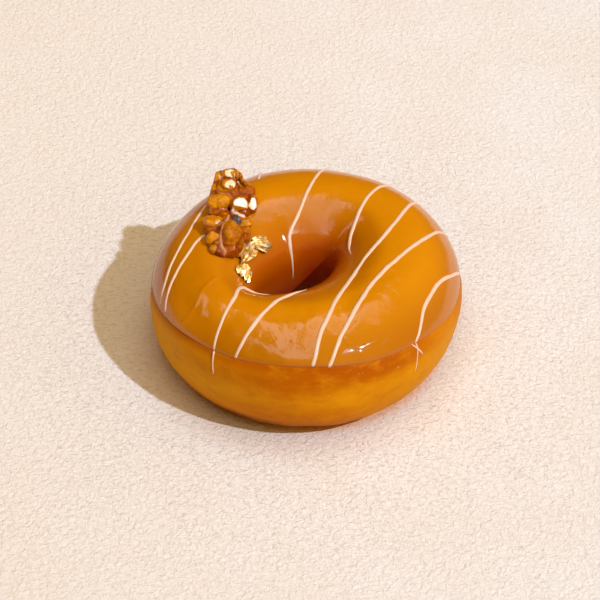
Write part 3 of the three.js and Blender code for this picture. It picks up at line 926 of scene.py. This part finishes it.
def lobe_distances(points):
    """Roughly how far places are outside each lobe, and how far facets cut into its round."""
    found, cuts = [], []
    relief = meat_relief(points)
    warp = np.stack([noise(points, 3.0, 61 + axis) for axis in range(3)], -1)
    power = LOBE_SQUARENESS
    for middle, half, _tone, flat, ledge, turned in LOBES:
        away = points - np.array(middle)
        cos, sin = math.cos(math.radians(turned)), math.sin(math.radians(turned))
        turn_back = np.array([(cos, -sin, 0), (sin, cos, 0), (0, 0, 1)])
        share = np.abs((away + warp * (FACET_WARP if flat else LOBE_WARP)) @ turn_back / half)
        steep = share ** (power - 1)
        length = np.maximum((steep * share).sum(-1), 1e-9) ** (1 / power)
        steepness = np.linalg.norm(steep / half, axis=-1) / length ** (power - 1)
        distance = (length - 1) / np.maximum(steepness, 1e-6) - relief
        cut = np.full(distance.shape, -1.0)
        if flat:
            reach = np.linalg.norm(FACET_FACES * half) - flat
            facet = away @ FACET_FACES - reach + FACET_UNEVENNESS * noise(points, 1.6, 64)
            cut = facet - distance
            distance = np.maximum(distance, facet)
        if ledge is not None:
            cut = np.where(away @ LEDGE_FACES - ledge > distance, -1.0, cut)
            distance = np.maximum(distance, away @ LEDGE_FACES - ledge)
        found.append(distance)
        cuts.append(cut)
    return np.array(found), np.array(cuts)


def blended(distances):
    return -LOBE_BLEND * np.log(np.exp(-np.clip(distances, -3, 12) / LOBE_BLEND).sum(0))


def ring_distance(points):
    """Roughly how far places are outside the icing's face, in mm."""
    bearing = np.degrees(np.arctan2(points[..., 1], points[..., 0])) % 360
    outer, inner = outline_reach(bearing), hole_reach(bearing)
    across = (np.hypot(points[..., 0], points[..., 1]) - (outer + inner) / 2) / ((outer - inner) / 2)
    up = np.maximum(points[..., 2] - WAIST, 0.0) / (HEIGHT - WAIST)
    share = (np.abs(across) ** TOP_SQUARENESS + up**TOP_SQUARENESS) ** (1 / TOP_SQUARENESS)
    turn = np.degrees(np.arctan2(up, across))
    return (share - 1) * (HEIGHT - WAIST) - icing_relief(bearing, turn)


def wrinkle_lines(points):
    """1 or a little more along the fine grooves of the meat, and 0 between them."""
    return around(noise(points, 3.1, 52), 0.0, 0.13) + 0.6 * around(noise(points, 1.8, 57), 0.0, 0.12)


def near_line(points, line, reach):
    """1 close to a line, seen from above, and 0 away from it."""
    away = line_distance(points[..., :2], np.array(line))
    return smoothstep(-away, -reach, -0.6 * reach)


def walnut_field(points):
    distances, _cuts = lobe_distances(points)
    count = len(UPPER_LOBES)
    upper, lower = blended(distances[:count]), blended(distances[count:])
    cut = (points - CUT_AT) @ (CUT_FACES / np.linalg.norm(CUT_FACES))
    upper = np.maximum(upper, cut + CUT_UNEVENNESS * noise(points, 2.5, 58))
    meat = -LOBE_BLEND * np.logaddexp(-upper / LOBE_BLEND, -lower / LOBE_BLEND)
    meat = meat - VEIN_HEIGHT * near_line(points, VEIN, VEIN_REACH)
    return np.maximum(meat, SEAT_LIFT - ring_distance(points))


def walnut_tones(points):
    """How light the meat is, and how much of each other colour it has."""
    distances, cuts = lobe_distances(points)
    order = np.sort(distances, axis=0)
    weight = np.exp(-(distances - order[0]) / TONE_BLEND)
    tones = np.array([lobe.tone for lobe in LOBES])
    # Painted shade in the grooves between lobes
    painted_groove_shade = around(order[1] - order[0], 0.0, GROOVE_HALF)
    painted_groove_shade = np.clip(0.75 * painted_groove_shade + 0.25 * wrinkle_lines(points), 0, 1)
    # The facets, which get a painted highlight
    painted_highlight_facet = (smoothstep(cuts, -0.06, 0.10) * (distances - order[0] < 0.12)).max(0)
    x, y, z = points.T
    # Painted shade low down near the icing, less on the outer side, and darker on the side by the leaf
    outer_side = smoothstep(-x, 24.6, 26.0) * smoothstep(-y, -4.0, -2.5)
    painted_shade_low_down = 0.75 * smoothstep(-z, -37.0, -35.2) * (1 - 0.7 * outer_side)
    leaf_side = 0.4 * smoothstep(x, -21.3, -19.3) * smoothstep(-y, -5.5, -4.0)
    off = np.stack([noise(points, 0.9, 71 + axis) for axis in range(3)], -1)
    ragged = points + RAGGEDNESS * off
    return {
        "tone": (weight * tones[:, None]).sum(0) / weight.sum(0),
        "painted_groove_shade": painted_groove_shade * (1 - painted_highlight_facet),
        "painted_highlight_facet": painted_highlight_facet,
        "painted_shade_low_down": np.maximum(painted_shade_low_down, leaf_side) * (1 - painted_highlight_facet),
        "pith": np.max([near_line(ragged, line, reach) for line, reach in PITH], axis=0),
        # Painted shade of a pit in the pith
        "painted_pit_shade": near_line(ragged, PIT, PIT_REACH),
        "vein": near_line(points, VEIN, VEIN_REACH + 0.2),
    }


def make_walnut():
    points, faces = surface_net(walnut_field, WALNUT_LOW, WALNUT_HIGH, WALNUT_CELL)
    obj = mesh_object("walnut_piece", points, faces.tolist(), walnut_material())
    for name, values in walnut_tones(points).items():
        paint(obj, name, values)
    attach(obj, BODY)
    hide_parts("walnut")


# --- Floor, light and camera, in metres ---

FLOOR_SIZE = 14.0
STROKE_SLANT = math.radians(38)


def floor_material():
    s = Shader("pale_floor")
    weave = s.noise(1.6, detail=5.0, roughness=0.62, distortion=0.8)
    cloud = s.noise(30.0, detail=3.0)
    across = s.node("ShaderNodeSeparateXYZ", {0: s.place()}).outputs["X"]
    away = s.node("ShaderNodeVectorMath", {0: s.place()}, operation="LENGTH").outputs["Value"]
    # Cooler on the right
    cool = s.band(across, -0.10, 0.10)
    dark_fibres = s.mix(cool, (0.735, 0.702, 0.685), (0.765, 0.765, 0.795))
    light_fibres = s.mix(cool, (0.785, 0.757, 0.748), (0.815, 0.820, 0.860))
    slanting = s.stretched((0.45, 1.0, 1.0), (0.0, 0.0, STROKE_SLANT))
    strokes = s.noise(0.75, detail=3.0, roughness=0.6, distortion=1.0, place=slanting)
    near_doughnut = s.band(away, 0.055, 0.11, 0.38, 0.14)
    shaded_side = s.band(across, -0.03, 0.03, 1.0, 0.3)
    layers = [
        (s.band(cloud, 0.3, 0.7, 0.0, 0.4), (0.755, 0.708, 0.672)),
        # Short felted strokes, which show most around the doughnut
        (s.math("MULTIPLY", s.band(strokes, 0.33, 0.50, 1.0, 0.0), near_doughnut), (0.34, 0.26, 0.20)),
        # Painted shade with painted orange bounce light from the doughnut, where it stands and close to
        # it on its shaded side
        (s.band(away, 0.0375, 0.0425, 0.75, 0.0), (0.78, 0.33, 0.03)),
        (s.math("MULTIPLY", s.band(away, 0.041, 0.056, 0.45, 0.0), shaded_side), (0.58, 0.37, 0.19)),
        # The room's light doesn't reach far beyond the doughnut
        (s.band(away, 0.16, 0.60), (0.30, 0.25, 0.21)),
    ]
    colour = s.layered(s.mix(weave, dark_fibres, light_fibres), layers)
    normal = s.bump(strokes, 0.25, normal=s.bump(weave, 0.6))
    s.set(Base_Color=colour, Roughness=0.85, Normal=normal)
    return s.material


def make_floor():
    half = FLOOR_SIZE / 2
    corners = [(-half, -half, 0), (half, -half, 0), (half, half, 0), (-half, half, 0)]
    data = bpy.data.meshes.new("floor")
    data.from_pydata(corners, [], [(0, 1, 2, 3)])
    data.materials.append(floor_material())
    floor = new_object("floor", data)


SUN_FROM = (0.577, -0.356, 0.735)
SUN_STRENGTH, SUN_COLOUR, SUN_ANGLE = 3.05, (0.74, 0.84, 1.0), math.radians(1.6)
# The overhead light comes through panes: middle, size, turn in degrees and share of the glow
PANE_HEIGHT, PANE_GLOW = 1.0, 1.9
PANE_COLOUR = (1.0, 0.98, 0.95)
PANES = [
    ((-0.19, -0.64), (0.50, 0.28), 0, 1.0),
    ((-0.41, -0.42), (0.16, 0.22), 0, 1.0),
    ((-0.14, 0.0), (0.14, 1.0), 0, 1.15),
    ((0.06, 0.06), (0.09, 1.10), 0, 1.15),
    ((0.19, 0.40), (0.08, 0.72), 14, 1.0),
    ((0.35, 0.38), (0.11, 0.74), 26, 0.55),
    ((-0.84, 0.30), (1.00, 0.15), 40, 1.0),
]
# The room is warm and dim, and brighter towards the side that the sun comes from. Its low walls
# have colours of their own, and the camera sees a pale backdrop instead
GLOW_FROM = (0.62, -0.34, 0.71)
ROOM_DIM, ROOM_BRIGHT = (0.06, 0.03, 0.003), (0.96, 0.56, 0.10)
LOW_DIM, LOW_BRIGHT, LOW_WALL = (0.16, 0.10, 0.04), (0.52, 0.38, 0.22), 0.45
BACKDROP = (0.86, 0.78, 0.72)


def add_light(name, kind, energy, colour, at):
    light = bpy.data.lights.new(name, kind)
    light.energy = energy
    light.color = colour
    obj = new_object(name, light)
    obj.location = at
    obj.rotation_euler = (-Vector(at)).to_track_quat("-Z", "Y").to_euler()
    return obj


def make_lights():
    sun = add_light("sun", "SUN", SUN_STRENGTH, SUN_COLOUR, SUN_FROM)
    sun.data.angle = SUN_ANGLE
    for number, (middle, size, turned, glow) in enumerate(PANES):
        power = PANE_GLOW * glow * math.pi * size[0] * size[1]
        pane = add_light(f"pane_{number}", "AREA", power, PANE_COLOUR, (*middle, PANE_HEIGHT))
        pane.rotation_euler = (0, 0, math.radians(turned))
        pane.data.shape = "RECTANGLE"
        pane.data.size, pane.data.size_y = size


def make_room():
    world = bpy.data.worlds.new("room")
    bpy.context.scene.world = world
    n = Nodes(world)
    n.tree.nodes.clear()
    way = n.node("ShaderNodeTexCoord").outputs["Generated"]
    facing = n.node("ShaderNodeVectorMath", {0: way, 1: GLOW_FROM}, operation="DOT_PRODUCT")
    glow = n.band(facing.outputs["Value"], -0.1, 1.0)
    height = n.node("ShaderNodeSeparateXYZ", {0: way}).outputs["Z"]
    lowness = n.band(height, 0.0, LOW_WALL, 1.0, 0.0)
    walls = n.mix(lowness, n.mix(glow, ROOM_DIM, ROOM_BRIGHT), n.mix(glow, LOW_DIM, LOW_BRIGHT))
    room = n.node("ShaderNodeBackground", {"Color": walls}).outputs[0]
    backdrop = n.node("ShaderNodeBackground", {"Color": BACKDROP}).outputs[0]
    seen = n.node("ShaderNodeLightPath").outputs["Is Camera Ray"]
    surface = n.node("ShaderNodeMixShader", {0: seen, 1: room, 2: backdrop}).outputs[0]
    n.node("ShaderNodeOutputWorld", {"Surface": surface})


CAMERA_AIM = (-0.00180, -0.00126, 0.015)
CAMERA_DISTANCE = 0.7
CAMERA_ELEVATION = math.radians(43.0)
CAMERA_LENS, CAMERA_SENSOR = 144.18, 36.0
CAMERA_SEES = 0.01, 100.0


def make_camera():
    camera = bpy.data.cameras.new("camera")
    camera.lens, camera.sensor_width = CAMERA_LENS, CAMERA_SENSOR
    camera.clip_start, camera.clip_end = CAMERA_SEES
    obj = new_object("camera", camera)
    back = Vector((0, -math.cos(CAMERA_ELEVATION), math.sin(CAMERA_ELEVATION)))
    obj.location = Vector(CAMERA_AIM) + back * CAMERA_DISTANCE
    obj.rotation_euler = (math.pi / 2 - CAMERA_ELEVATION, 0, 0)
    bpy.context.scene.camera = obj
    bpy.context.scene.view_settings.view_transform = "Standard"


make_camera()
make_dough()
make_icing()
make_threads()
make_leaf()
make_walnut()
make_floor()
make_lights()
make_room()
